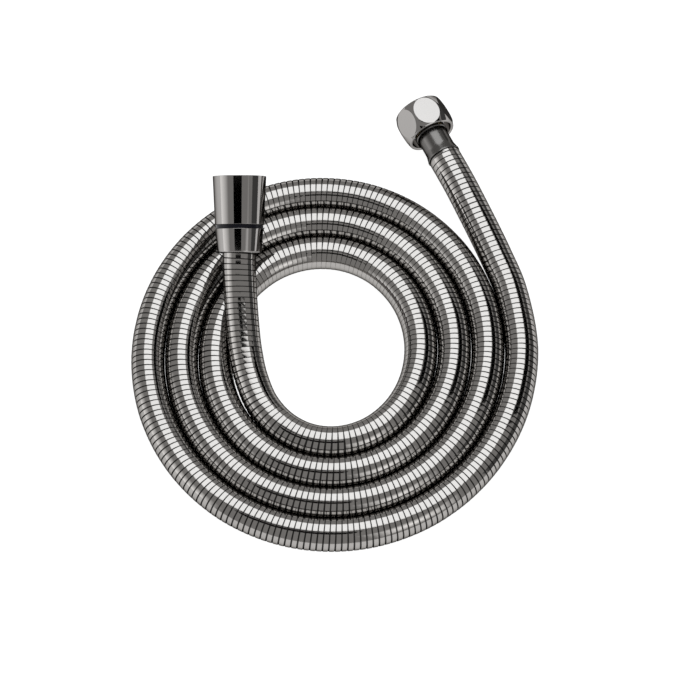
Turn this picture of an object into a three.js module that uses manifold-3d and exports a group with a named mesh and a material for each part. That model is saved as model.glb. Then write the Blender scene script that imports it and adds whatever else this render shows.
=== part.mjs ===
import * as THREE from 'three';
import Module from 'manifold-3d';
import { mergeVertices } from 'three/addons/utils/BufferGeometryUtils.js';

// Metal shower hose with a hex nut at one end and a swivelling conical nut at the other.
// It lies in a flat spiral: the nut end rests on the floor outside the coil, and the innermost
// turn climbs over the turn beside it and lifts the cone end. Millimetres, +Z up.
// Every fitting is turned about its own axis, which starts at the hose and points out of its mouth.

const wasm = await Module();
wasm.setup();

// Clearances
const seatGap = 0.3; // between faces that meet
const turnGap = 0.5; // radial, round a piece that turns

// Hose: a wound steel strip over a rubber liner
const hoseRadius = 7.6;
const stripWall = 1.2;
const linerWall = 1.75;
const linerSlack = 0.35; // radial, between strip and liner
const hoseSides = 10; // a corner points down, and flat sides face the next turn

// Flat spiral
const turnSpacing = 0.25; // between neighbouring turns
const spiralHalfWidth = 89.75; // of the outermost turn's centre line, along X
const spiralHalfDepth = 95.65; // the same along Y
const spiralStartDeg = -20; // clockwise from +X, seen from above
const spiralEndDeg = 1180;
const spiralStepDeg = 20;

// Centre line from the nut end down to the spiral, and from the spiral up to the cone end
const nutLead = [
  [55.1, 101.9, 11.2],
  [61.8, 88.2, 11.2],
  [67.8, 75.1, 10.6],
  [73.4, 62.8, 9.5],
  [78.7, 50.5, 8.4],
];
const coneLead = [
  [-19.1, -38.2, 8.1],
  [-28.6, -27.8, 9.4],
  [-34.3, -14.7, 11.8],
  [-37.2, -1.6, 15.1],
  [-38.6, 10.5, 18.9],
  [-39.5, 22.5, 23.1],
  [-40.0, 34.0, 28.0],
  [-40.0, 41.0, 31.4],
  [-40.0, 46.5, 34.1],
];

// Both threaded mouths take the same half-inch pipe thread
const socketRadius = 9.6;
const mouthChamfer = 0.4;
const washerThickness = 2.0;
const washerHoleRadius = 5.2;
const flangeThickness = 1.8;

// Barbed tail that both ends push into the liner
const tailRadius = 3.75;
const barbDepth = 0.4;
const barbCount = 4;
const barbPitch = 2.4;
const tailDepth = 8.0; // past the end of the strip
const waterRadius = 2.6;

// Ferrule behind the hex nut
const ferruleFlareLand = 0.9;
const ferruleFlareEnd = 4.0;
const ferruleNeckRadius = 7.05;
const ferruleBeadRadius = 7.75;
const ferruleBeadWidth = 0.8;
const nutStandoff = 13.1; // from the strip's end to the nut

// Hex nut: a barrel with six flats
const nutLength = 14.7;
const nutAcrossFlats = 22.4;
const nutBarrelRadius = 12.5;
const nutEndRadius = 11.1;
const nutRimRound = 0.5;
const counterboreRadius = 10.0;
const counterboreDepth = 3.0;
const counterboreChamfer = 0.25;
const nutWebThickness = 1.8;
const shankRadius = 7.0;

// Cone end, measured from the collar's lower face
const stripInset = 7.0; // how far the strip reaches into the collar
const collarLength = 11.15;
const collarLowRadius = 10.15;
const collarTopRadius = 11.05;
const collarRound = 0.8;
const slideRingWidth = 1.3;
const slideRingRadius = 10.95;
const coneNutLength = 22.3;
const coneLowRadius = 11.3;
const coneTopRadius = 12.35;
const coneWebThickness = 2.2;
const coneEdge = 0.35;

// Swivel inside the cone
const barrelRadius = 7.6;
const barrelBaseThickness = 2.0;
const cupRadius = 6.0;
const cupDepth = 7.9;
const plugLength = 5.5;
const plugRadius = 5.6;
const spindleNeckRadius = 4.6;
const oRingThickness = 1.3;
const oRingSlack = 0.25; // on each side, along the axis
const oRingLand = 0.65; // plug left above and below each groove
const circlipThickness = 0.6;
const circlipWidth = 1.5;
const circlipGapDeg = 50;

// Facets round an axis
const outsideFacets = 40;
const insideFacets = 20;

// Materials
const blackNickel = new THREE.MeshStandardMaterial({ color: 0x6f6b67, roughness: 0.16, metalness: 1 });
const steelStrip = new THREE.MeshStandardMaterial({ color: 0x75716c, roughness: 0.2, metalness: 1 });
const brass = new THREE.MeshStandardMaterial({ color: 0xb5944f, roughness: 0.35, metalness: 1 });
const springSteel = new THREE.MeshStandardMaterial({ color: 0x8a8a8c, roughness: 0.35, metalness: 1 });
const blackRubber = new THREE.MeshStandardMaterial({ color: 0x121214, roughness: 0.7, metalness: 0 });
const blackPlastic = new THREE.MeshStandardMaterial({ color: 0x0b0b10, roughness: 0.35, metalness: 0 });

// A ring turned about Z. Both outlines are [radius, height] points from low to high.
function turned(outer, inner, facets = insideFacets) {
  const outline = [...outer, ...[...inner].reverse(), outer[0]];
  const points = outline.map(([radius, height]) => new THREE.Vector2(radius, height));
  return new THREE.LatheGeometry(points, facets).rotateX(Math.PI / 2);
}

function solidOf(geometry) {
  const bare = geometry.clone();
  bare.deleteAttribute('normal');
  bare.deleteAttribute('uv');
  const merged = mergeVertices(bare);
  const mesh = new wasm.Mesh({
    numProp: 3,
    vertProperties: new Float32Array(merged.attributes.position.array),
    triVerts: new Uint32Array(merged.index.array),
  });
  return new wasm.Manifold(mesh);
}

function geometryOf(solid) {
  const mesh = solid.getMesh();
  const geometry = new THREE.BufferGeometry();
  geometry.setAttribute('position', new THREE.BufferAttribute(mesh.vertProperties, 3));
  geometry.setIndex(new THREE.BufferAttribute(mesh.triVerts, 1));
  return geometry;
}

function piece(name, geometry, material) {
  const mesh = new THREE.Mesh(geometry, material);
  mesh.name = name;
  return mesh;
}

// Centre line of the whole hose

function spiralPoint(angleDeg) {
  const pitch = 2 * hoseRadius + turnSpacing;
  const turns = angleDeg / 360;
  const angle = THREE.MathUtils.degToRad(angleDeg);
  const x = (spiralHalfWidth - pitch * turns) * Math.cos(angle);
  const y = -(spiralHalfDepth - pitch * turns) * Math.sin(angle);
  return new THREE.Vector3(x, y, hoseRadius);
}

function hoseRoute() {
  const route = nutLead.map((point) => new THREE.Vector3(...point));
  for (let angle = spiralStartDeg; angle <= spiralEndDeg; angle += spiralStepDeg) {
    route.push(spiralPoint(angle));
  }
  route.push(...coneLead.map((point) => new THREE.Vector3(...point)));
  return route;
}

// A smooth curve that puts one section of a swept tube on each of its points,
// so the straight facets of neighbouring turns stay parallel
class HoseCurve extends THREE.CatmullRomCurve3 {
  getPointAt(u, target) {
    return this.getPoint(u, target);
  }

  getTangentAt(u, target) {
    return this.getTangent(u, target);
  }
}

function polygon(radius) {
  const corners = [];
  for (let i = 0; i < hoseSides; i += 1) {
    const angle = (2 * Math.PI * i) / hoseSides;
    corners.push(new THREE.Vector2(radius * Math.cos(angle), radius * Math.sin(angle)));
  }
  return corners;
}

function sweptTube(route, radius, bore) {
  const section = new THREE.Shape(polygon(radius));
  section.holes.push(new THREE.Path(polygon(bore)));
  return new THREE.ExtrudeGeometry(section, {
    steps: route.length - 1,
    extrudePath: new HoseCurve(route),
    bevelEnabled: false,
  });
}

const route = hoseRoute();
const nutEnd = route[0];
const coneEnd = route[route.length - 1];
const nutAxis = nutEnd.clone().sub(route[1]).normalize();
const coneAxis = coneEnd.clone().sub(route[route.length - 2]).normalize();

const stripBore = hoseRadius - stripWall;
const linerRadius = stripBore - linerSlack;
const linerBore = linerRadius - linerWall;

// Heights along the nut end's axis, from the end of the strip
const ferruleTop = nutStandoff + seatGap + ferruleBeadWidth + seatGap;
const shankLow = ferruleTop + seatGap;
const nutWebLow = nutStandoff + counterboreDepth;
const nutWebTop = nutWebLow + nutWebThickness;
const nutFlangeLow = nutWebTop + seatGap;
const nutWasherLow = nutFlangeLow + flangeThickness + seatGap;
const nutMouth = nutStandoff + nutLength;

// Heights along the cone end's axis, from the collar's lower face
const barrelLow = stripInset + seatGap;
const cupLow = barrelLow + barrelBaseThickness;
const barrelTop = cupLow + cupDepth;
const slideRingLow = collarLength + seatGap;
const coneNutLow = slideRingLow + slideRingWidth + seatGap;
const coneWebLow = barrelTop + seatGap;
const coneWebTop = coneWebLow + coneWebThickness;
const plugLow = cupLow + seatGap;
const plugTop = plugLow + plugLength;
const circlipLow = plugTop + 2 * seatGap;
const coneFlangeLow = coneWebTop + seatGap;
const coneWasherLow = coneFlangeLow + flangeThickness + seatGap;
const coneMouth = coneNutLow + coneNutLength;
const oRingGrooveHeight = oRingThickness + 2 * oRingSlack;
const oRingSeatRadius = cupRadius - 2 * seatGap - oRingThickness;

const flangeRadius = socketRadius - turnGap;
const washerRadius = socketRadius - seatGap;

// Barbs: each rises slowly towards the fitting and drops back sharply
function barbedTail(lowest, highest) {
  const rootRadius = tailRadius - barbDepth;
  const outline = [[rootRadius - barbDepth, lowest]];
  for (let i = 0; i < barbCount; i += 1) {
    const start = lowest + i * barbPitch;
    outline.push([rootRadius, start + barbDepth]);
    outline.push([tailRadius, start + barbPitch - barbDepth]);
    outline.push([rootRadius, start + barbPitch]);
  }
  outline.push([rootRadius, highest]);
  return outline;
}

function washer(name, low) {
  const top = low + washerThickness;
  return piece(name, turned(
    [[washerRadius, low], [washerRadius, top]],
    [[washerHoleRadius, low], [washerHoleRadius, top]],
  ), blackRubber);
}

// Nut end

function nutFerrule() {
  const beadLow = nutStandoff + seatGap;
  const beadTop = beadLow + ferruleBeadWidth;
  const bore = linerRadius + seatGap;
  const outer = [
    [hoseRadius, seatGap],
    [hoseRadius, ferruleFlareLand],
    [ferruleNeckRadius, ferruleFlareEnd],
    [ferruleNeckRadius, beadLow],
    [ferruleBeadRadius, beadLow],
    [ferruleBeadRadius, beadTop],
    [ferruleNeckRadius, ferruleTop],
  ];
  return piece('nut_ferrule', turned(outer, [[bore, seatGap], [bore, ferruleTop]], outsideFacets), blackNickel);
}

function nutNipple() {
  const outer = [
    ...barbedTail(-tailDepth, shankLow),
    [shankRadius, shankLow],
    [shankRadius, nutFlangeLow],
    [flangeRadius, nutFlangeLow],
    [flangeRadius, nutFlangeLow + flangeThickness],
  ];
  const inner = [[waterRadius, -tailDepth], [waterRadius, nutFlangeLow + flangeThickness]];
  return piece('nut_nipple', turned(outer, inner), brass);
}

// The barrel's outline is one arc through the widest circle, with a small round at both rims
function barrelOutline(low, high) {
  const half = (high - low) / 2 - nutRimRound;
  const rise = nutBarrelRadius - nutEndRadius;
  const arcRadius = (half * half + rise * rise) / (2 * rise);
  const middle = (low + high) / 2;
  const cornerCut = nutRimRound * (1 - Math.SQRT1_2);
  const steps = 8;
  const outline = [[nutEndRadius - nutRimRound, low], [nutEndRadius - cornerCut, low + cornerCut]];
  for (let i = 0; i <= steps; i += 1) {
    const along = half * ((2 * i) / steps - 1);
    const radius = nutBarrelRadius - arcRadius + Math.sqrt(arcRadius * arcRadius - along * along);
    outline.push([radius, middle + along]);
  }
  outline.push([nutEndRadius - cornerCut, high - cornerCut], [nutEndRadius - nutRimRound, high]);
  return outline;
}

function hexNut() {
  const webHole = shankRadius + turnGap;
  const outer = barrelOutline(nutStandoff, nutMouth);
  const inner = [
    [counterboreRadius + counterboreChamfer, nutStandoff],
    [counterboreRadius, nutStandoff + counterboreChamfer],
    [counterboreRadius, nutWebLow],
    [webHole, nutWebLow],
    [webHole, nutWebTop],
    [socketRadius, nutWebTop],
    [socketRadius, nutMouth - mouthChamfer],
    [socketRadius + mouthChamfer, nutMouth],
  ];
  const barrel = turned(outer, inner, outsideFacets);
  const cornerRadius = nutAcrossFlats / 2 / Math.cos(Math.PI / 6);
  const stockLength = 2 * nutLength;
  const stock = new THREE.CylinderGeometry(cornerRadius, cornerRadius, stockLength, 6)
    .rotateX(Math.PI / 2)
    .translate(0, 0, (nutStandoff + nutMouth) / 2);
  return piece('hex_nut', geometryOf(solidOf(barrel).intersect(solidOf(stock))), blackNickel);
}

// Cone end

function coneCollar() {
  const bore = hoseRadius + turnGap;
  const outer = [];
  const roundSteps = 4;
  for (let i = 0; i <= roundSteps; i += 1) {
    const angle = (Math.PI / 2) * (i / roundSteps);
    const radius = collarLowRadius - collarRound * (1 - Math.sin(angle));
    outer.push([radius, collarRound * (1 - Math.cos(angle))]);
  }
  outer.push([collarTopRadius, collarLength]);
  const inner = [[bore, 0], [bore, collarLength]];
  return piece('cone_collar', turned(outer, inner, outsideFacets), blackNickel);
}

function slideRing() {
  const top = slideRingLow + slideRingWidth;
  const bore = barrelRadius + turnGap;
  return piece('slide_ring', turned(
    [[slideRingRadius, slideRingLow], [slideRingRadius, top]],
    [[bore, slideRingLow], [bore, top]],
    outsideFacets,
  ), blackPlastic);
}

function coneNut() {
  const skirtBore = barrelRadius + turnGap;
  const webHole = spindleNeckRadius + turnGap;
  const outer = [
    [coneLowRadius - coneEdge, coneNutLow],
    [coneLowRadius, coneNutLow + coneEdge],
    [coneTopRadius, coneMouth - coneEdge],
    [coneTopRadius - coneEdge, coneMouth],
  ];
  const inner = [
    [skirtBore, coneNutLow],
    [skirtBore, coneWebLow],
    [webHole, coneWebLow],
    [webHole, coneWebTop],
    [socketRadius, coneWebTop],
    [socketRadius, coneMouth - mouthChamfer],
    [socketRadius + mouthChamfer, coneMouth],
  ];
  return piece('cone_nut', turned(outer, inner, outsideFacets), blackNickel);
}

function swivelBarrel() {
  const outer = [
    ...barbedTail(stripInset - tailDepth - barbCount * barbPitch, barrelLow),
    [barrelRadius, barrelLow],
    [barrelRadius, barrelTop],
  ];
  const circlipGroove = cupRadius + circlipWidth / 2 + seatGap;
  const inner = [
    [waterRadius, outer[0][1]],
    [waterRadius, cupLow],
    [cupRadius, cupLow],
    [cupRadius, circlipLow - seatGap],
    [circlipGroove, circlipLow - seatGap],
    [circlipGroove, circlipLow + circlipThickness + seatGap],
    [cupRadius, circlipLow + circlipThickness + seatGap],
    [cupRadius, barrelTop],
  ];
  return piece('swivel_barrel', turned(outer, inner), brass);
}

function swivelSpindle() {
  const grooveFloor = oRingSeatRadius - seatGap;
  const outer = [[plugRadius, plugLow]];
  for (const low of oRingGrooves()) {
    outer.push([plugRadius, low]);
    outer.push([grooveFloor, low]);
    outer.push([grooveFloor, low + oRingGrooveHeight]);
    outer.push([plugRadius, low + oRingGrooveHeight]);
  }
  outer.push([plugRadius, plugTop]);
  outer.push([spindleNeckRadius, plugTop]);
  outer.push([spindleNeckRadius, coneFlangeLow]);
  outer.push([flangeRadius, coneFlangeLow]);
  outer.push([flangeRadius, coneFlangeLow + flangeThickness]);
  const inner = [[waterRadius, plugLow], [waterRadius, coneFlangeLow + flangeThickness]];
  return piece('swivel_spindle', turned(outer, inner), brass);
}

function oRingGrooves() {
  const lower = plugLow + oRingLand;
  const upper = plugTop - oRingLand - oRingGrooveHeight;
  return [lower, upper];
}

function oRing(name, grooveLow) {
  const ring = new THREE.TorusGeometry(oRingSeatRadius + oRingThickness / 2, oRingThickness / 2, 8, insideFacets);
  ring.translate(0, 0, grooveLow + oRingGrooveHeight / 2);
  return piece(name, ring, blackRubber);
}

function circlip() {
  const outerRadius = cupRadius + circlipWidth / 2;
  const innerRadius = cupRadius - circlipWidth / 2;
  const start = THREE.MathUtils.degToRad(circlipGapDeg / 2);
  const outline = new THREE.Shape();
  outline.absarc(0, 0, outerRadius, start, 2 * Math.PI - start, false);
  outline.absarc(0, 0, innerRadius, 2 * Math.PI - start, start, true);
  const clip = new THREE.ExtrudeGeometry(outline, {
    depth: circlipThickness,
    bevelEnabled: false,
    curveSegments: insideFacets,
  });
  return piece('circlip', clip.translate(0, 0, circlipLow), springSteel);
}

// A fitting's own axis is Z, and its X points up, so that one flat of the nut lies on the floor
function fitting(origin, axis, pieces) {
  const group = new THREE.Group();
  const up = new THREE.Vector3(0, 0, 1);
  const side = new THREE.Vector3().crossVectors(axis, up).normalize();
  const top = new THREE.Vector3().crossVectors(side, axis);
  group.quaternion.setFromRotationMatrix(new THREE.Matrix4().makeBasis(top, side, axis));
  group.position.copy(origin);
  group.add(...pieces);
  return group;
}

function build() {
  const part = new THREE.Group();

  // The liner runs on past the strip: into the ferrule, and level with the strip in the collar
  const linerRoute = [...route];
  linerRoute.unshift(nutEnd.clone().addScaledVector(nutAxis, ferruleTop));
  part.add(piece('strip_armour', sweptTube(route, hoseRadius, stripBore), steelStrip));
  part.add(piece('liner', sweptTube(linerRoute, linerRadius, linerBore), blackRubber));

  part.add(fitting(nutEnd, nutAxis, [
    nutFerrule(),
    nutNipple(),
    hexNut(),
    washer('nut_washer', nutWasherLow),
  ]));

  const [lowerGroove, upperGroove] = oRingGrooves();
  const collarFace = coneEnd.clone().addScaledVector(coneAxis, -stripInset);
  part.add(fitting(collarFace, coneAxis, [
    coneCollar(),
    slideRing(),
    coneNut(),
    swivelBarrel(),
    swivelSpindle(),
    oRing('lower_o_ring', lowerGroove),
    oRing('upper_o_ring', upperGroove),
    circlip(),
    washer('cone_washer', coneWasherLow),
  ]));

  // The origin is on the floor, at the middle of the hose's outline
  const box = new THREE.Box3().setFromObject(part, true);
  const centre = box.getCenter(new THREE.Vector3());
  part.position.set(-centre.x, -centre.y, -box.min.z);
  return part;
}

export default build();
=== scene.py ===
"""Metal shower hose: the strip wound along its coil, the turned end fittings, and a white floor."""
import math

import bpy
import numpy as np
from mathutils import Matrix, Vector


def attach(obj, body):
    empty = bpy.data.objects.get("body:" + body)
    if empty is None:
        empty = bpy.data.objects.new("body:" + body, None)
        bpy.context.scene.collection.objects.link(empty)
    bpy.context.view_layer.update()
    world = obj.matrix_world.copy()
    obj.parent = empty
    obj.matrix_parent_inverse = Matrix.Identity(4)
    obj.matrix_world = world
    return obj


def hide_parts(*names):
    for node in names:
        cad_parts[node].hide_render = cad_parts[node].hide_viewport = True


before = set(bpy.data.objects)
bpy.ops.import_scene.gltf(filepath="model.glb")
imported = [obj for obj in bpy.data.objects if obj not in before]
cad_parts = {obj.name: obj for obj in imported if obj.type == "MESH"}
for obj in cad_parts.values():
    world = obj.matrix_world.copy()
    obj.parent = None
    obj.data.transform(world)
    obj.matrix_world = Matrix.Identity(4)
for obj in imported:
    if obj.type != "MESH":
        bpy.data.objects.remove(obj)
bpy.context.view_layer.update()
bpy.ops.object.select_all(action="DESELECT")

MM = 0.001

# Flat spiral of the hose, in millimetres, as the solids have it
HOSE_RADIUS = 7.6
TURN_SPACING = 0.25
SPIRAL_HALF_WIDTH = 89.75
SPIRAL_HALF_DEPTH = 95.65
SPIRAL_DEGREES = range(-20, 1181, 20)
NUT_LEAD = [
    (55.1, 101.9, 11.2),
    (61.8, 88.2, 11.2),
    (67.8, 75.1, 10.6),
    (73.4, 62.8, 9.5),
    (78.7, 50.5, 8.4),
]
CONE_LEAD = [
    (-19.1, -38.2, 8.1),
    (-28.6, -27.8, 9.4),
    (-34.3, -14.7, 11.8),
    (-37.2, -1.6, 15.1),
    (-38.6, 10.5, 18.9),
    (-39.5, 22.5, 23.1),
    (-40.0, 34.0, 28.0),
    (-40.0, 41.0, 31.4),
    (-40.0, 46.5, 34.1),
]
ORIGIN_SHIFT = (-3.86276, -16.78539, 0.0)

# Wound strip
STRIP_RADIUS = 7.735
STRIP_BORE = 6.4
STRIP_PITCH = 2.64
LAND_WIDTH = 2.25
LAND_BEVEL = 0.08
LAND_CROWN = 0.02
GROOVE_DEPTH = 0.22
STRIP_SIDES = 30
BORE_STEP = 8.0
LAND_TILT = 0.02
LAND_LIFT = 0.03
TILT_STRIDE = 14
LIFT_STRIDE = 23
STRIP_SEED = 7
STRIP_CREASE = math.radians(30)
STRIP_INSET = 7.0

# Camera: a long lens, at the photograph's angle
CAMERA_ELEVATION = math.radians(62.6)
CAMERA_DISTANCE = 2.5
CAMERA_TARGET = (0.002117, -0.010701, 0.01075)
FRAME_WIDTH = 0.3123
SENSOR_MM = 36.0


def unit(vector):
    return vector / np.linalg.norm(vector, axis=-1, keepdims=True)


def select_only(obj):
    bpy.ops.object.select_all(action="DESELECT")
    obj.select_set(True)
    bpy.context.view_layer.objects.active = obj


# Camera

camera = bpy.data.objects.new("camera", bpy.data.cameras.new("camera"))
bpy.context.scene.collection.objects.link(camera)
toward_camera = Vector((0.0, -math.cos(CAMERA_ELEVATION), math.sin(CAMERA_ELEVATION)))
camera.location = Vector(CAMERA_TARGET) + toward_camera * CAMERA_DISTANCE
camera.rotation_euler = toward_camera.to_track_quat("Z", "Y").to_euler()
camera.data.sensor_width = SENSOR_MM
camera.data.lens = SENSOR_MM * CAMERA_DISTANCE / FRAME_WIDTH
camera.data.clip_start = 0.05
camera.data.clip_end = 50
bpy.context.scene.camera = camera


# Centre line of the hose


def spiral_point(degrees):
    pitch = 2 * HOSE_RADIUS + TURN_SPACING
    turns = degrees / 360
    angle = math.radians(degrees)
    x = (SPIRAL_HALF_WIDTH - pitch * turns) * math.cos(angle)
    y = -(SPIRAL_HALF_DEPTH - pitch * turns) * math.sin(angle)
    return (x, y, HOSE_RADIUS)


def smooth_line(points, samples=24):
    """Close samples along a centripetal Catmull-Rom curve through the points."""
    before = 2 * points[0] - points[1]
    after = 2 * points[-1] - points[-2]
    padded = np.vstack([before, points, after])
    line = []
    for p0, p1, p2, p3 in zip(padded, padded[1:], padded[2:], padded[3:]):
        t1 = np.linalg.norm(p1 - p0) ** 0.5
        t2 = t1 + np.linalg.norm(p2 - p1) ** 0.5
        t3 = t2 + np.linalg.norm(p3 - p2) ** 0.5
        t = np.linspace(t1, t2, samples, endpoint=False)[:, None]
        a1 = (t1 - t) / t1 * p0 + t / t1 * p1
        a2 = (t2 - t) / (t2 - t1) * p1 + (t - t1) / (t2 - t1) * p2
        a3 = (t3 - t) / (t3 - t2) * p2 + (t - t2) / (t3 - t2) * p3
        b1 = (t2 - t) / t2 * a1 + t / t2 * a2
        b2 = (t3 - t) / (t3 - t1) * a2 + (t - t1) / (t3 - t1) * a3
        line.append((t2 - t) / (t2 - t1) * b1 + (t - t1) / (t2 - t1) * b2)
    return np.vstack([*line, points[-1:]])


class CentreLine:
    """A line by its length, with a side and a top direction that never twist."""

    def __init__(self, points):
        self.points = smooth_line(points)
        steps = np.linalg.norm(np.diff(self.points, axis=0), axis=1)
        self.along = np.concatenate([[0], np.cumsum(steps)])
        self.length = self.along[-1]
        self.tangents = unit(np.gradient(self.points, self.along, axis=0))

    def sample(self, s, values):
        return np.stack([np.interp(s, self.along, column) for column in values.T], axis=-1)

    def at(self, s):
        place = self.sample(s, self.points)
        tangent = unit(self.sample(s, self.tangents))
        side = unit(np.cross(tangent, (0, 0, 1)))
        return place, tangent, side, np.cross(side, tangent)

    def ring(self, s, angle, radius):
        """Points at those lengths and angles, round the line."""
        place, _, side, top = self.at(s)
        angle = np.asarray(angle)[..., None]
        return place + radius * (np.cos(angle) * top + np.sin(angle) * side)


def wander(generator, count, stride):
    """A slow random drift between -1 and 1, one value for each of count stations."""
    knots = generator.uniform(-1, 1, count // stride + 2)
    return np.interp(np.arange(count) / stride, np.arange(len(knots)), knots)


# Wound strip: flat lands with bevelled edges, and the groove between one turn and the next


def wound_strip(line):
    sides = STRIP_SIDES
    generator = np.random.default_rng(STRIP_SEED)
    count = int((line.length / STRIP_PITCH + 2) * sides) + 2
    station = np.arange(count)
    centre = (station / sides - 1) * STRIP_PITCH
    angle = -2 * np.pi * station / sides
    tilt = LAND_TILT * wander(generator, count, TILT_STRIDE)
    lift = LAND_LIFT / 2 * (wander(generator, count, LIFT_STRIDE) - 1)

    half = LAND_WIDTH / 2
    floor_radius = STRIP_RADIUS - GROOVE_DEPTH
    profile = [
        (-half, floor_radius),
        (-half + LAND_BEVEL, STRIP_RADIUS - LAND_CROWN),
        (0, STRIP_RADIUS),
        (half - LAND_BEVEL, STRIP_RADIUS - LAND_CROWN),
        (half, floor_radius),
    ]
    groove_shade_and_dullness = [1.0, 0.0, 0.0, 0.0, 1.0]
    place, tangent, side, top = line.at(centre)
    outward = np.cos(angle)[:, None] * top + np.sin(angle)[:, None] * side
    rows = []
    for across, radius in profile:
        height = radius + tilt * across + lift
        rows.append(place + outward * height[:, None] + tangent * across)
    offsets = [across for across, _ in profile]

    # Both end rings, and the bore inside
    ring_angle = -2 * np.pi * np.arange(sides) / sides
    bore_rings = int(line.length / BORE_STEP) + 1
    bore_at = np.linspace(0, line.length, bore_rings)
    points = np.vstack([
        *rows,
        line.ring(np.zeros(sides), ring_angle, floor_radius),
        line.ring(np.full(sides, line.length), ring_angle, floor_radius),
        line.ring(np.repeat(bore_at, sides), np.tile(ring_angle, bore_rings), STRIP_BORE),
    ])
    first_ring = len(rows) * count
    last_ring = first_ring + sides
    bore = last_ring + sides

    # What lies past an end of the hose is drawn in to that end's ring
    index = np.arange(len(rows) * count).reshape(len(rows), count)
    for row, across in enumerate(offsets):
        before = centre + across < 0
        after = centre + across > line.length
        index[row, before] = first_ring + station[before] % sides
        index[row, after] = last_ring + station[after] % sides

    def quads(low, low_at, high, high_at):
        at = (low_at, high_at, high_at + 1, low_at + 1)
        corners = [index[row, k] for row, k in zip((low, high, high, low), at)]
        across = [offsets[row] for row in (low, high, high, low)]
        if high == 0:
            across[1] = across[2] = offsets[0] + STRIP_PITCH
        stations = (low_at, low_at, low_at + 1, low_at + 1)
        around = [k / sides * 2 * math.pi * HOSE_RADIUS * MM for k in stations]
        uv = [np.stack([u, np.full(len(u), v * MM)], axis=-1) for u, v in zip(around, across)]
        return np.stack(corners, axis=1), np.stack(uv, axis=1)

    k = station[:-1]
    parts = [quads(row, k, row + 1, k) for row in range(len(rows) - 1)]
    k = station[: -1 - sides]
    parts.append(quads(len(rows) - 1, k, 0, k + sides))
    faces = np.vstack([part[0] for part in parts])
    uvs = np.vstack([part[1] for part in parts])

    i = np.arange(sides)
    j = (i + 1) % sides
    low = np.arange(bore_rings - 1)[:, None] * sides + bore
    tube = np.stack([low + i, low + j, low + sides + j, low + sides + i], axis=-1).reshape(-1, 4)
    end = bore + (bore_rings - 1) * sides
    first_cap = np.stack([first_ring + i, first_ring + j, bore + j, bore + i], axis=1)
    last_cap = np.stack([last_ring + i, end + i, end + j, last_ring + j], axis=1)
    plain = np.vstack([tube, first_cap, last_cap])
    faces = np.vstack([faces, plain])
    uvs = np.vstack([uvs, np.zeros((len(plain), 4, 2))])

    polygons = []
    polygon_uvs = []
    for face, uv in zip(faces.tolist(), uvs.tolist()):
        kept = [c for c in range(4) if face[c] != face[c - 1]]
        if len(kept) > 2 and len({face[c] for c in kept}) == len(kept):
            polygons.append([face[c] for c in kept])
            polygon_uvs.extend(uv[c] for c in kept)

    used = np.unique(np.concatenate([np.array(p) for p in polygons]))
    renumber = np.zeros(len(points), dtype=int)
    renumber[used] = np.arange(len(used))
    mesh = bpy.data.meshes.new("wound_strip")
    mesh.from_pydata((points[used] * MM).tolist(), [], [renumber[p].tolist() for p in polygons])
    mesh.uv_layers.new(name="strip").data.foreach_set("uv", np.array(polygon_uvs).ravel())
    # The groove rows are marked here; the strip's material darkens them with painted shade and dulls their
    # gloss
    depth = np.ones(len(points))
    depth[: len(rows) * count] = np.repeat(groove_shade_and_dullness, count)
    mesh.attributes.new("groove", "FLOAT", "POINT").data.foreach_set("value", depth[used])
    mesh.validate()
    obj = bpy.data.objects.new("wound_strip", mesh)
    bpy.context.scene.collection.objects.link(obj)
    return obj


route = NUT_LEAD + [spiral_point(degrees) for degrees in SPIRAL_DEGREES] + CONE_LEAD
line = CentreLine(np.array(route) + ORIGIN_SHIFT)
hose = wound_strip(line)
select_only(hose)
bpy.ops.object.shade_smooth_by_angle(angle=STRIP_CREASE)
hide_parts("strip_armour")
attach(hose, "hose")


# Places of both fittings: Z runs out of the hose, and X is up


def fitting_place(origin, axis):
    axis = Vector(axis).normalized()
    side = axis.cross(Vector((0, 0, 1))).normalized()
    top = side.cross(axis)
    turn = Matrix((top, side, axis)).transposed().to_4x4()
    return Matrix.Translation(Vector(origin) * MM) @ turn


nut_end, _, _, _ = line.at(0.0)
cone_end, _, _, _ = line.at(line.length)
nut_axis = unit(np.array(route[0]) - np.array(route[1]))
cone_axis = unit(np.array(route[-1]) - np.array(route[-2]))
nut_place = fitting_place(nut_end, nut_axis)
cone_place = fitting_place(cone_end - STRIP_INSET * cone_axis, cone_axis)


# Materials

# A near black specular tint: it darkens what the strip and the plating mirror where they are seen nearly
# edge on, a painted shade on their rims
RIM_SHADE_TINT = (0.08, 0.08, 0.08, 1)


class Wire:
    """A socket of a material, which takes part in plain arithmetic."""

    def __init__(self, finish, socket):
        self.finish = finish
        self.socket = socket

    def math(self, operation, first, second):
        return self.finish.node("ShaderNodeMath", {"operation": operation}, {0: first, 1: second})

    def __add__(self, other):
        return self.math("ADD", self, other)

    def __radd__(self, other):
        return self.math("ADD", other, self)

    def __sub__(self, other):
        return self.math("SUBTRACT", self, other)

    def __rsub__(self, other):
        return self.math("SUBTRACT", other, self)

    def __mul__(self, other):
        return self.math("MULTIPLY", self, other)

    def __rmul__(self, other):
        return self.math("MULTIPLY", other, self)

    def lowest(self, other):
        return self.math("MINIMUM", self, other)

    def highest(self, other):
        return self.math("MAXIMUM", self, other)


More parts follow.
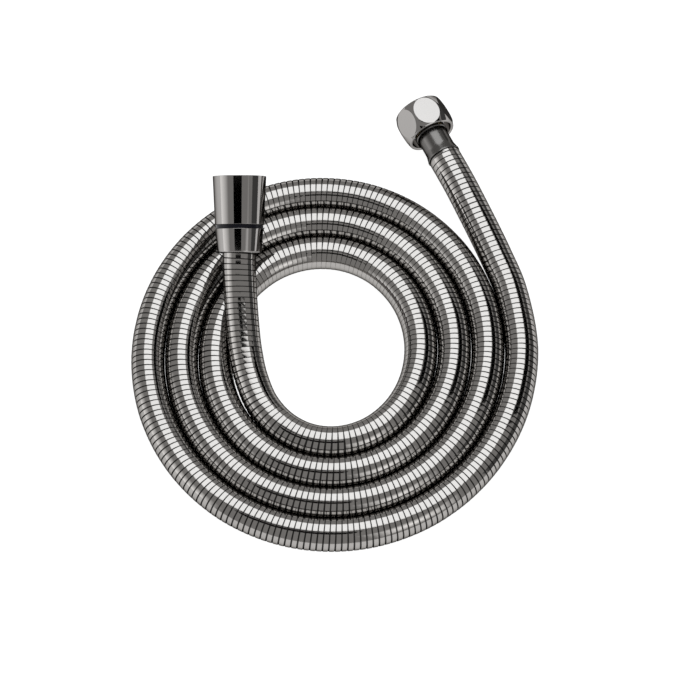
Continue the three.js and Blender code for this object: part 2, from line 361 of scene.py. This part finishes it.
class Finish:
    """A material, and the nodes that make it."""

    def __init__(self, name):
        self.material = bpy.data.materials.new(name)
        self.material.use_nodes = True
        self.tree = self.material.node_tree
        self.tree.nodes.clear()

    def node(self, kind, settings=None, values=None, output=0):
        node = self.tree.nodes.new(kind)
        for key, value in (settings or {}).items():
            setattr(node, key, value)
        for key, value in (values or {}).items():
            if isinstance(value, Wire):
                self.tree.links.new(value.socket, node.inputs[key])
            else:
                node.inputs[key].default_value = value
        return Wire(self, node.outputs[output]) if node.outputs else None

    def noise(self, place, scale, detail=3.0):
        return self.node("ShaderNodeTexNoise", {}, {"Vector": place, "Scale": scale, "Detail": detail})

    def blend(self, factor, first, second):
        """The first colour at 0 and the second at 1."""
        colours = {0: factor, 6: first, 7: second}
        return self.node("ShaderNodeMix", {"data_type": "RGBA"}, colours, output=2)

    def surface(self, shader):
        self.node("ShaderNodeOutputMaterial", {}, {"Surface": shader})
        return self.material


def shade(colour, factor):
    return (*[min(c * factor, 1) for c in colour], 1)


def polished(name, colour, roughness):
    """Plated metal: faint clouds in its tint, wiping marks in its gloss."""
    finish = Finish(name)
    place = finish.node("ShaderNodeTexCoord", output="Object")
    cloud = finish.noise(place, 60.0)
    wiped = finish.noise(place, 18.0, 5.0)
    grain = finish.noise(place, 2600.0, 2.0)
    skin = finish.node("ShaderNodeBump", {}, {"Strength": 0.012, "Distance": 0.0002, "Height": grain})
    values = {
        "Base Color": finish.blend(cloud, shade(colour, 0.94), shade(colour, 1.05)),
        "Metallic": 1.0,
        "Roughness": roughness + 0.05 * wiped,
        # Specular Tint: painted shade on the rims seen edge on
        "Specular Tint": RIM_SHADE_TINT,
        "Normal": skin,
    }
    return finish.surface(finish.node("ShaderNodeBsdfPrincipled", {}, values))


def rolled(name, colour, roughness):
    """The rolled strip: fine lines along its run, and dull grooves between its turns, darkened with
    painted shade.
    """
    finish = Finish(name)
    run = finish.node("ShaderNodeUVMap", {"uv_map": "strip"})
    stretched = finish.node("ShaderNodeMapping", {}, {"Vector": run, "Scale": (40.0, 4000.0, 1.0)})
    lines = finish.noise(stretched, 1.0, 2.0)
    place = finish.node("ShaderNodeTexCoord", output="Object")
    wiped = finish.noise(place, 35.0, 5.0)
    depth = finish.node("ShaderNodeAttribute", {"attribute_name": "groove"}, output="Fac")
    tint = finish.blend(wiped, shade(colour, 0.93), shade(colour, 1.06))
    skin = finish.node("ShaderNodeBump", {}, {"Strength": 0.02, "Distance": 0.0001, "Height": lines})
    values = {
        # The grooves take a tenth of the strip's colour: painted shade between the turns
        "Base Color": finish.blend(depth, tint, shade(colour, 0.1)),
        "Metallic": 1.0,
        "Roughness": roughness + 0.03 * wiped + 0.04 * lines + 0.22 * depth,
        # Specular Tint: painted shade on the rims seen edge on
        "Specular Tint": RIM_SHADE_TINT,
        "Normal": skin,
    }
    return finish.surface(finish.node("ShaderNodeBsdfPrincipled", {}, values))


def turned_metal(name, colour, roughness):
    """Bare turned metal: tool marks round the piece and a slightly uneven tarnish."""
    finish = Finish(name)
    place = finish.node("ShaderNodeTexCoord", output="Object")
    tarnish = finish.noise(place, 120.0, 4.0)
    marks = finish.noise(place, 1800.0, 2.0)
    skin = finish.node("ShaderNodeBump", {}, {"Strength": 0.08, "Distance": 0.0002, "Height": marks})
    values = {
        "Base Color": finish.blend(tarnish, shade(colour, 0.82), shade(colour, 1.1)),
        "Metallic": 1.0,
        "Roughness": roughness + 0.15 * tarnish,
        "Normal": skin,
    }
    return finish.surface(finish.node("ShaderNodeBsdfPrincipled", {}, values))


def moulded(name, colour, roughness):
    """Rubber or plastic: a fine mould grain, with dust in its tint."""
    finish = Finish(name)
    place = finish.node("ShaderNodeTexCoord", output="Object")
    dust = finish.noise(place, 300.0, 4.0)
    grain = finish.noise(place, 3500.0, 2.0)
    skin = finish.node("ShaderNodeBump", {}, {"Strength": 0.1, "Distance": 0.0002, "Height": grain})
    values = {
        "Base Color": finish.blend(dust, shade(colour, 0.75), shade(colour, 1.3)),
        "Roughness": roughness + 0.12 * dust,
        "Specular IOR Level": 0.2,
        "Normal": skin,
    }
    return finish.surface(finish.node("ShaderNodeBsdfPrincipled", {}, values))


strip_steel = rolled("strip_steel", (0.39, 0.376, 0.362), 0.05)
black_nickel = polished("black_nickel", (0.365, 0.352, 0.342), 0.03)
satin_nickel = polished("satin_nickel", (0.15, 0.145, 0.14), 0.2)
brass = turned_metal("brass", (0.7, 0.56, 0.3), 0.2)
spring_steel = turned_metal("spring_steel", (0.5, 0.5, 0.51), 0.2)
rubber = moulded("rubber", (0.03, 0.03, 0.032), 0.6)
black_plastic = moulded("black_plastic", (0.004, 0.004, 0.008), 0.25)
hose.data.materials.append(strip_steel)


# Turned pieces

TURNED_SIDES = 96
EDGE_ANGLE = math.radians(35)


def turned(name, outline, place, edge=0.12):
    """A ring through a closed outline of (radius, height), drawn as circles and joined up."""
    bpy.ops.object.select_all(action="DESELECT")
    bpy.ops.mesh.primitive_circle_add(vertices=TURNED_SIDES, radius=outline[0][0] * MM)
    obj = bpy.context.object
    obj.name = name
    obj.data.name = name
    bpy.ops.object.mode_set(mode="EDIT")
    bpy.ops.mesh.select_all(action="SELECT")
    bpy.ops.transform.translate(value=(0, 0, outline[0][1] * MM))
    for (radius, height), (next_radius, next_height) in zip(outline, outline[1:] + outline[:1]):
        rise = (0, 0, (next_height - height) * MM)
        bpy.ops.mesh.extrude_region_move(TRANSFORM_OT_translate={"value": rise})
        grow = next_radius / radius
        bpy.ops.transform.resize(value=(grow, grow, 1), center_override=(0, 0, 0))
    bpy.ops.mesh.select_all(action="SELECT")
    bpy.ops.mesh.remove_doubles(threshold=1e-6)
    bpy.ops.mesh.normals_make_consistent(inside=False)
    bpy.ops.object.mode_set(mode="OBJECT")
    if edge:
        soften(obj, edge)
    obj.data.transform(place)
    return obj


def apply_modifier(obj, kind, **settings):
    modifier = obj.modifiers.new(kind.lower(), kind)
    for key, value in settings.items():
        setattr(modifier, key, value)
    bpy.context.view_layer.objects.active = obj
    bpy.ops.object.modifier_apply(modifier=modifier.name)


def soften(obj, edge):
    """Rounds the sharp edges, then keeps the wide faces flat in their shading."""
    apply_modifier(obj, "BEVEL", width=edge * MM, segments=3, limit_method="ANGLE", angle_limit=EDGE_ANGLE)
    select_only(obj)
    bpy.ops.object.shade_smooth()
    apply_modifier(obj, "WEIGHTED_NORMAL", mode="FACE_AREA", weight=50)


def add_piece(obj, material, body, slot, *nodes):
    obj.data.materials.clear()
    obj.data.materials.append(material)
    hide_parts(*nodes)
    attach(obj, body)


def arc(centre_radius, centre_height, radius, start, end, steps):
    """Outline points on an arc, with its angles in degrees from the outward direction."""
    points = []
    for i in range(steps + 1):
        angle = math.radians(start + (end - start) * i / steps)
        points.append((centre_radius + radius * math.cos(angle), centre_height + radius * math.sin(angle)))
    return points


# Ferrule: a flare that meets the strip, the neck, and the bead in the nut's mouth
ferrule = turned(
    "nut_ferrule_fine",
    [
        (7.8, 0.3),
        (8.0, 0.45),
        (8.0, 0.9),
        (7.85, 1.3),
        (7.45, 3.2),
        (7.27, 4.0),
        (7.2, 4.9),
        (7.2, 13.35),
        *arc(7.35, 13.8, 0.4, -80, 80, 6),
        (7.2, 14.25),
        (7.05, 14.5),
        (6.35, 14.5),
        (6.35, 0.3),
    ],
    nut_place,
    edge=0.06,
)
add_piece(ferrule, satin_nickel, "hose", "black_nickel", "nut_ferrule")

# Both threads: the bore's fine rings are moved in and out along a right-hand helix
THREAD_PITCH = 1.814
THREAD_CREST = 9.35
THREAD_ROOT = 10.25
THREAD_MIDDLE = (THREAD_CREST + THREAD_ROOT) / 2
THREAD_STEP = 0.15
THREAD_FADE = 0.6
THREAD_STEEPNESS = 1.25
THREAD_REACH = 0.05
THREAD_END_REACH = 0.01
NUT_THREAD = (21.6, 27.4)
CONE_THREAD = (24.6, 34.9)


def thread_rings(low, high):
    count = int(round((high - low) / THREAD_STEP))
    return [(THREAD_MIDDLE, low + (high - low) * i / count) for i in range(count + 1)]


def cut_thread(obj, low, high):
    """Moves the bore's rings between those heights, while the piece still stands on its own axis."""
    vertices = np.empty(len(obj.data.vertices) * 3)
    obj.data.vertices.foreach_get("co", vertices)
    vertices = vertices.reshape(-1, 3) / MM
    height = vertices[:, 2]
    radius = np.hypot(vertices[:, 0], vertices[:, 1])
    within = (height > low - THREAD_END_REACH) & (height < high + THREAD_END_REACH)
    on_bore = within & (np.abs(radius - THREAD_MIDDLE) < THREAD_REACH)
    turn = np.arctan2(vertices[:, 1], vertices[:, 0]) / (2 * np.pi)
    phase = (height / THREAD_PITCH - turn) % 1
    wave = np.clip((np.abs(phase - 0.5) * 4 - 1) * THREAD_STEEPNESS, -1, 1)
    fade = np.clip(np.minimum(height - low, high - height) / THREAD_FADE, 0, 1)
    depth = (THREAD_ROOT - THREAD_CREST) / 2 * wave * fade
    scale = np.where(on_bore, (radius + depth) / np.maximum(radius, 1e-6), 1)
    vertices[:, :2] *= scale[:, None]
    obj.data.vertices.foreach_set("co", (vertices * MM).ravel())
    obj.data.update()


# Hex nut: a turned barrel, cut by six flats
NUT_LOW = 13.1
NUT_HIGH = 28.2
NUT_MIDDLE = (NUT_LOW + NUT_HIGH) / 2
NUT_END_RADIUS = 11.4
NUT_BARREL_RADIUS = 12.85
NUT_FLAT_RADIUS = 11.4
NUT_TURN = math.radians(4)
NUT_CREASE = math.radians(6)
NUT_RIM = 0.5
NUT_RIM_START = 24
HEX_STOCK_LENGTH = 30
NUT_HALF = (NUT_HIGH - NUT_LOW) / 2 - NUT_RIM
NUT_RISE = NUT_BARREL_RADIUS - NUT_END_RADIUS
NUT_ARC = (NUT_HALF**2 + NUT_RISE**2) / (2 * NUT_RISE)
nut_arc_degrees = math.degrees(math.asin(NUT_HALF / NUT_ARC))
rim_centre = NUT_END_RADIUS - NUT_RIM
hex_nut = turned(
    "hex_nut_fine",
    [
        *arc(rim_centre, NUT_LOW + NUT_RIM, NUT_RIM, -90, -NUT_RIM_START, 14),
        *arc(NUT_BARREL_RADIUS - NUT_ARC, NUT_MIDDLE, NUT_ARC, -nut_arc_degrees, nut_arc_degrees, 24),
        *arc(rim_centre, NUT_HIGH - NUT_RIM, NUT_RIM, NUT_RIM_START, 90, 14),
        (10.25, NUT_HIGH),
        *reversed(thread_rings(*NUT_THREAD)),
        (10.0, 21.2),
        (10.0, 17.9),
        (7.5, 17.9),
        (7.5, 16.1),
        (10.0, 16.1),
        (10.0, 13.35),
        (10.25, 13.1),
    ],
    Matrix.Identity(4),
    edge=0,
)
bpy.ops.mesh.primitive_cylinder_add(
    vertices=6,
    radius=NUT_FLAT_RADIUS / math.cos(math.pi / 6) * MM,
    depth=HEX_STOCK_LENGTH * MM,
    location=(0, 0, NUT_MIDDLE * MM),
)
hex_stock = bpy.context.object
apply_modifier(hex_nut, "BOOLEAN", operation="INTERSECT", object=hex_stock, solver="EXACT")
bpy.data.objects.remove(hex_stock)
select_only(hex_nut)
bpy.ops.object.shade_smooth_by_angle(angle=NUT_CREASE)
cut_thread(hex_nut, *NUT_THREAD)
hex_nut.data.transform(nut_place @ Matrix.Rotation(NUT_TURN, 4, "Z"))
add_piece(hex_nut, black_nickel, "hex_nut", "black_nickel", "hex_nut")

# Nipple with its flange, and the washer on it
nipple = turned(
    "nut_nipple_fine",
    [
        (2.6, -8.0),
        (2.95, -8.0),
        (3.35, -7.6),
        (3.75, -6.0),
        (3.35, -5.6),
        (3.75, -3.6),
        (3.35, -3.2),
        (3.75, -1.2),
        (3.35, -0.8),
        (3.75, 1.2),
        (3.35, 1.6),
        (3.35, 14.8),
        (7.0, 14.8),
        (7.0, 18.2),
        (9.1, 18.2),
        (9.1, 20.0),
        (2.6, 20.0),
    ],
    nut_place,
)
add_piece(nipple, brass, "hose", "brass", "nut_nipple")


WASHER_RADIUS = 9.3
WASHER_HOLE = 5.2
WASHER_THICKNESS = 2.0


def washer(name, low, place):
    high = low + WASHER_THICKNESS
    outline = [(WASHER_RADIUS, low), (WASHER_RADIUS, high), (WASHER_HOLE, high), (WASHER_HOLE, low)]
    return turned(name, outline, place, edge=0.2)


add_piece(washer("nut_washer_fine", 20.3, nut_place), rubber, "hose", "rubber", "nut_washer")

# Collar, slide ring and cone
collar = turned(
    "cone_collar_fine",
    [(8.1, 0.0), *arc(9.35, 0.8, 0.8, -90, 0, 6), (11.05, 11.15), (8.1, 11.15)],
    cone_place,
    edge=0.18,
)
add_piece(collar, black_nickel, "hose", "black_nickel", "cone_collar")

ring_outline = [(10.95, 11.2), (10.95, 13.0), (8.1, 13.0), (8.1, 11.2)]
slide_ring = turned("slide_ring_fine", ring_outline, cone_place)
add_piece(slide_ring, black_plastic, "hose", "black_plastic", "slide_ring")

cone_nut = turned(
    "cone_nut_fine",
    [
        (11.3, 13.05),
        (12.35, 35.35),
        (10.2, 35.35),
        *reversed(thread_rings(*CONE_THREAD)),
        (10.0, 24.2),
        (10.0, 19.7),
        (5.1, 19.7),
        (5.1, 17.5),
        (8.1, 17.5),
        (8.1, 13.05),
    ],
    Matrix.Identity(4),
    edge=0.3,
)
cut_thread(cone_nut, *CONE_THREAD)
cone_nut.data.transform(cone_place)
add_piece(cone_nut, black_nickel, "cone_nut", "black_nickel", "cone_nut")

# Spindle with both grooves, and the washer on it
spindle = turned(
    "swivel_spindle_fine",
    [
        (5.6, 9.6),
        (5.6, 10.25),
        (3.8, 10.25),
        (3.8, 12.05),
        (5.6, 12.05),
        (5.6, 12.65),
        (3.8, 12.65),
        (3.8, 14.45),
        (5.6, 14.45),
        (5.6, 15.1),
        (4.6, 15.1),
        (4.6, 20.0),
        (9.1, 20.0),
        (9.1, 21.8),
        (2.6, 21.8),
        (2.6, 9.6),
    ],
    cone_place,
)
add_piece(spindle, brass, "spindle", "brass", "swivel_spindle")
add_piece(washer("cone_washer_fine", 22.1, cone_place), rubber, "spindle", "rubber", "cone_washer")

# Inner nodes kept as they are
for node, material, slot in [
    ("liner", rubber, "rubber"),
    ("swivel_barrel", brass, "brass"),
    ("circlip", spring_steel, "spring_steel"),
    ("lower_o_ring", rubber, "rubber"),
    ("upper_o_ring", rubber, "rubber"),
]:
    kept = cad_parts[node]
    kept.data.materials.clear()
    kept.data.materials.append(material)


# Stage: a white floor with a soft shadow, a softbox overhead, and panels round it

UP = (0, 0, 1)
DOWN = (0, 0, -1)
WHITE = (1, 1, 1, 1)
FLOOR_HEIGHT = -0.0002
FLOOR_WIDTH = 8
FLOOR_TINT = (0.8, 0.8, 0.8, 1)
FLOOR_GLOW = 1.35
FLOOR_GLOW_SHARE = 0.7
SOFTBOX_MIDDLE = (2.07, 2.12, 2.16)
SOFTBOX_RIM = (1.3, 1.3, 1.3)
LEFT_MIDDLE = (1.8, 1.8, 1.8)
FRONT_MIDDLE = (1.9, 1.9, 1.9)
PANEL_RIM = (0.4, 0.395, 0.39)
ROOM_GREY = (0.39, 0.385, 0.38, 1)
WALL = 3.0
FRONT_PANEL_PLACE = (1.65, -2.1, 1.36)


def stage_plane(name, centre, size, material, facing=DOWN, shown=False):
    bpy.ops.object.select_all(action="DESELECT")
    bpy.ops.mesh.primitive_plane_add(size=1)
    obj = bpy.context.object
    obj.name = name
    spread = Matrix.Diagonal((size[0], size[1], 1, 1))
    turn = Vector(facing).to_track_quat("Z", "Y").to_matrix().to_4x4()
    obj.data.transform(Matrix.Translation(centre) @ turn @ spread)
    obj.data.materials.append(material)
    obj.visible_camera = shown


def ceiling_card(name, height, x, y, material):
    """A card that faces down, its edges given as slopes from straight overhead."""
    centre = ((x[0] + x[1]) / 2 * height, (y[0] + y[1]) / 2 * height, height)
    stage_plane(name, centre, ((x[1] - x[0]) * height, (y[1] - y[0]) * height), material)


def glow(name, level):
    finish = Finish(name)
    return finish.surface(finish.node("ShaderNodeEmission", {}, {"Color": WHITE, "Strength": level}))


def soft_glow(name, middle, rim, fade, standing=False):
    """A glow that fades to its panel's rim over a share of its width, on a standing one upward too."""
    finish = Finish(name)
    place = finish.node("ShaderNodeTexCoord", output="UV")
    across = finish.node("ShaderNodeSeparateXYZ", {}, {0: place})
    along = Wire(finish, across.socket.node.outputs[1])
    ends = (across.lowest(1 - across) * (1 / fade)).lowest(1.0)
    if standing:
        share = ends * (1 - along)
    else:
        share = ends.lowest(along.lowest(1 - along) * (1 / fade))
    colour = finish.blend(share, (*rim, 1), (*middle, 1))
    return finish.surface(finish.node("ShaderNodeEmission", {}, {"Color": colour, "Strength": 1.0}))


def white_floor():
    """White where it is seen or mirrored, and plain enough to take the shadow."""
    finish = Finish("floor_white")
    seen = finish.node("ShaderNodeLightPath", output="Is Camera Ray")
    seen = seen.highest(finish.node("ShaderNodeLightPath", output="Is Glossy Ray"))
    seen = seen.highest(finish.node("ShaderNodeLightPath", output="Is Transmission Ray"))
    lit = finish.node("ShaderNodeBsdfDiffuse", {}, {"Color": FLOOR_TINT})
    bright = finish.node("ShaderNodeEmission", {}, {"Color": WHITE, "Strength": FLOOR_GLOW})
    shares = {0: FLOOR_GLOW_SHARE * seen, 1: lit, 2: bright}
    return finish.surface(finish.node("ShaderNodeMixShader", {}, shares))


stage_plane("floor", (0, 0, FLOOR_HEIGHT), (FLOOR_WIDTH, FLOOR_WIDTH), white_floor(), UP, shown=True)

# Overhead: the softbox with its dark frame, and the dark cards that the metal mirrors as lines
black = glow("card_black", 0.0)
softbox = soft_glow("softbox_white", SOFTBOX_MIDDLE, SOFTBOX_RIM, 0.1)
ceiling_card("softbox", 3.0, (-0.54, 0.5), (-0.1, 1.15), softbox)
ceiling_card("softbox_frame", 3.02, (-0.57, 0.53), (-0.15, 1.2), black)
ceiling_card("camera_card", 2.0, (-0.38, 0.0), (-0.22, -0.12), black)
stage_plane("lens_card", (-0.133, -0.3, 0.6), (0.426, 0.13), black)
stage_plane("side_card", (0.53, 0.33, 0.5), (0.38, 0.5), black)

# Round it: two pale panels and a dark wall
left_white = soft_glow("panel_white", LEFT_MIDDLE, PANEL_RIM, 0.2, standing=True)
stage_plane("left_panel", (-WALL, -0.6, 1.1), (3.6, 2.2), left_white, (1, 0, 0))
front_white = soft_glow("panel_soft", FRONT_MIDDLE, PANEL_RIM, 0.45)
toward_hose = [-c for c in FRONT_PANEL_PLACE]
stage_plane("front_panel", FRONT_PANEL_PLACE, (2.2, 2.2), front_white, toward_hose)
stage_plane("right_wall", (WALL, 2.0, 0.8), (6.0, 1.6), glow("wall_dark", 0.1), (-1, 0, 0))

world = bpy.data.worlds.new("studio")
bpy.context.scene.world = world
world.use_nodes = True
world.node_tree.nodes["Background"].inputs["Color"].default_value = ROOM_GREY
world.node_tree.nodes["Background"].inputs["Strength"].default_value = 1.0

bpy.context.scene.view_settings.view_transform = "Standard"
